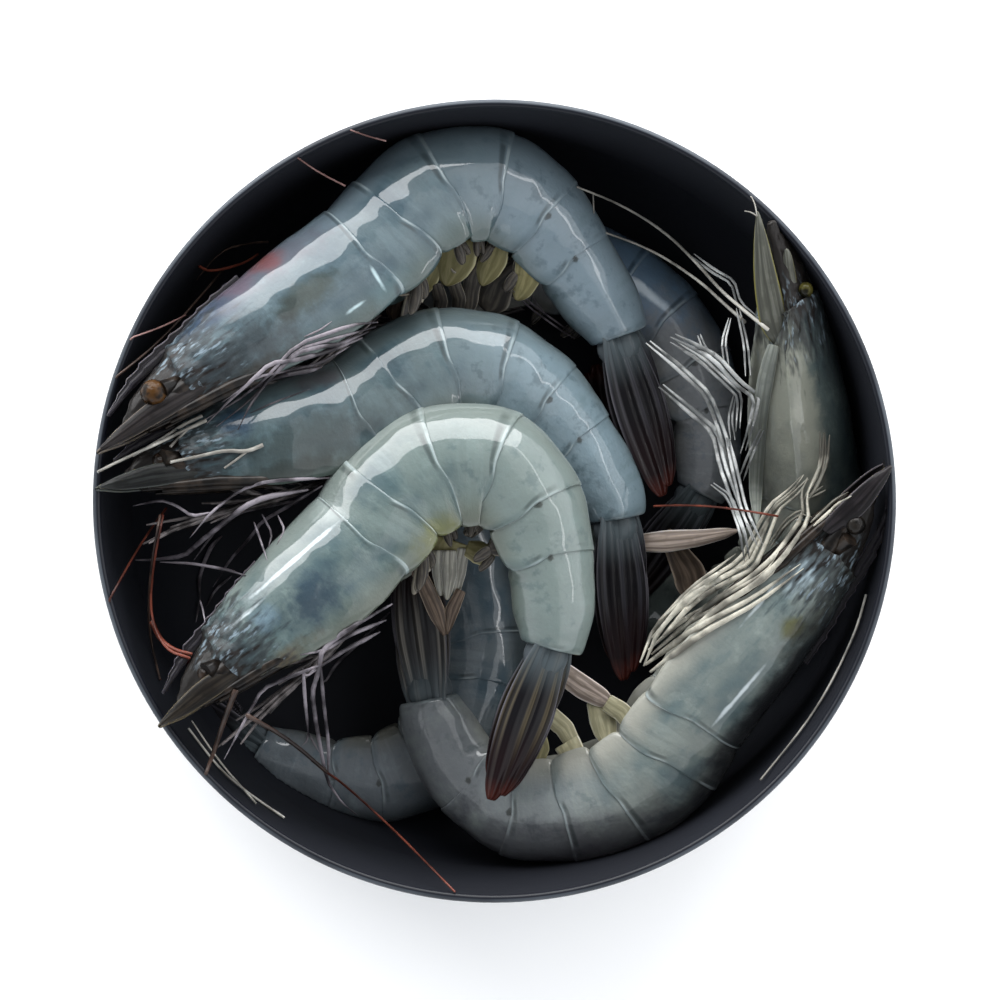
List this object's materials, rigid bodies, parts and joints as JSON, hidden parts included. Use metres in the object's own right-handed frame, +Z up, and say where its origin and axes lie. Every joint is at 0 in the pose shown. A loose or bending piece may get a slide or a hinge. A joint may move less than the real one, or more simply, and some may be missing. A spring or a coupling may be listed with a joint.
{
  "type": "bowl of raw shrimp",
  "caption": "Dark round bowl heaped with whole raw shrimp, head and shell on, curled on their sides with heads up against the rim.",
  "frame": {"origin": "on the bowl's axis, in the plane of its foot", "axes": "+Z up along the bowl's axis, +Y away from the viewer of the heap, +X to that viewer's right"},
  "size_m": [0.1593, 0.1598, 0.0636],
  "materials": {
    "bowl": "satin",
    "shrimp": "gloss"
  },
  "bodies": {
    "root": {"bowl": "bowl", "shrimp_a": "shrimp", "shrimp_b": "shrimp", "shrimp_c": "shrimp", "shrimp_d": "shrimp", "shrimp_e": "shrimp", "shrimp_f": "shrimp", "shrimp_g": "shrimp"}
  },
  "joints": []
}
